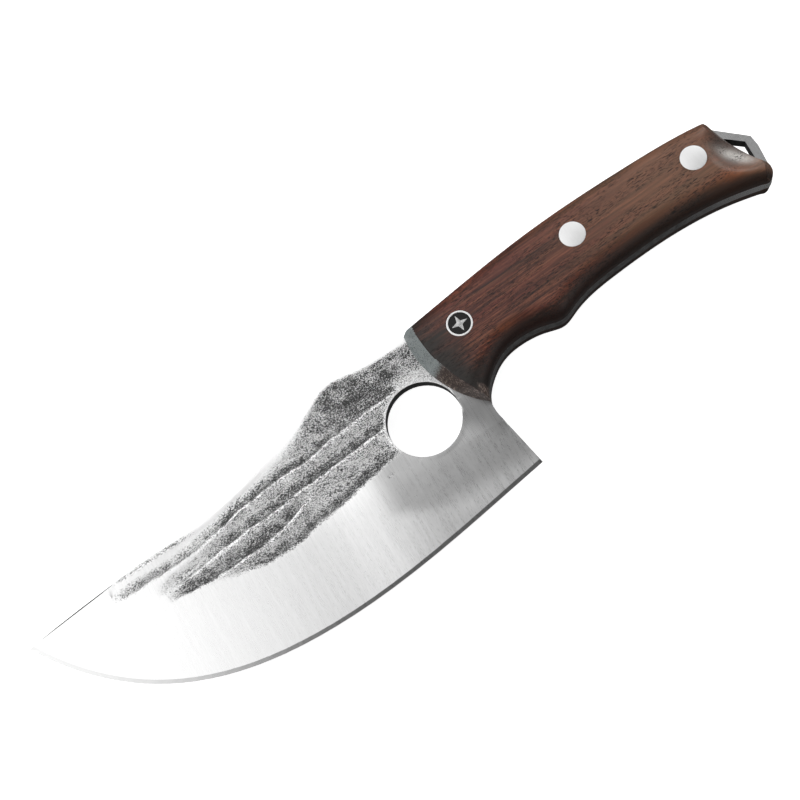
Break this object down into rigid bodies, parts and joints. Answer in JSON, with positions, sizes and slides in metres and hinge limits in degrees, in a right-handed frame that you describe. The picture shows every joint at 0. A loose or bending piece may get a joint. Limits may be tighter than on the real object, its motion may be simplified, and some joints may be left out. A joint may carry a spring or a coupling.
{
  "type": "meat cleaver",
  "caption": "Full-tang butcher's cleaver: broad curved blade with a finger hole, riveted wooden scales, a round badge and a lanyard eye.",
  "frame": {"origin": "centre of the finger hole, in the middle of the steel's thickness", "axes": "+X from the tip to the pommel, +Y from the cutting edge to the spine, +Z out of the left face, which carries the badge; the part lies on its right side"},
  "size_m": [0.2753, 0.0738, 0.0196],
  "materials": {
    "blade_steel": "satin ground flats, dark forged hollows",
    "scale_wood": "dark oiled hardwood with open pores",
    "epoxy": "dark cured epoxy",
    "rivet_steel": "sanded flush, satin",
    "badge_metal": "bright stamped nickel",
    "enamel": "gloss black"
  },
  "bodies": {
    "root": {"blade_and_tang": "blade_steel", "left_scale": "scale_wood", "right_scale": "scale_wood", "left_glue_film": "epoxy", "right_glue_film": "epoxy", "front_rivet_sleeve": "rivet_steel", "front_rivet_stud": "rivet_steel", "middle_rivet_sleeve": "rivet_steel", "middle_rivet_stud": "rivet_steel", "rear_rivet_sleeve": "rivet_steel", "rear_rivet_stud": "rivet_steel", "badge_disc": "badge_metal", "badge_enamel": "enamel"}
  },
  "joints": []
}
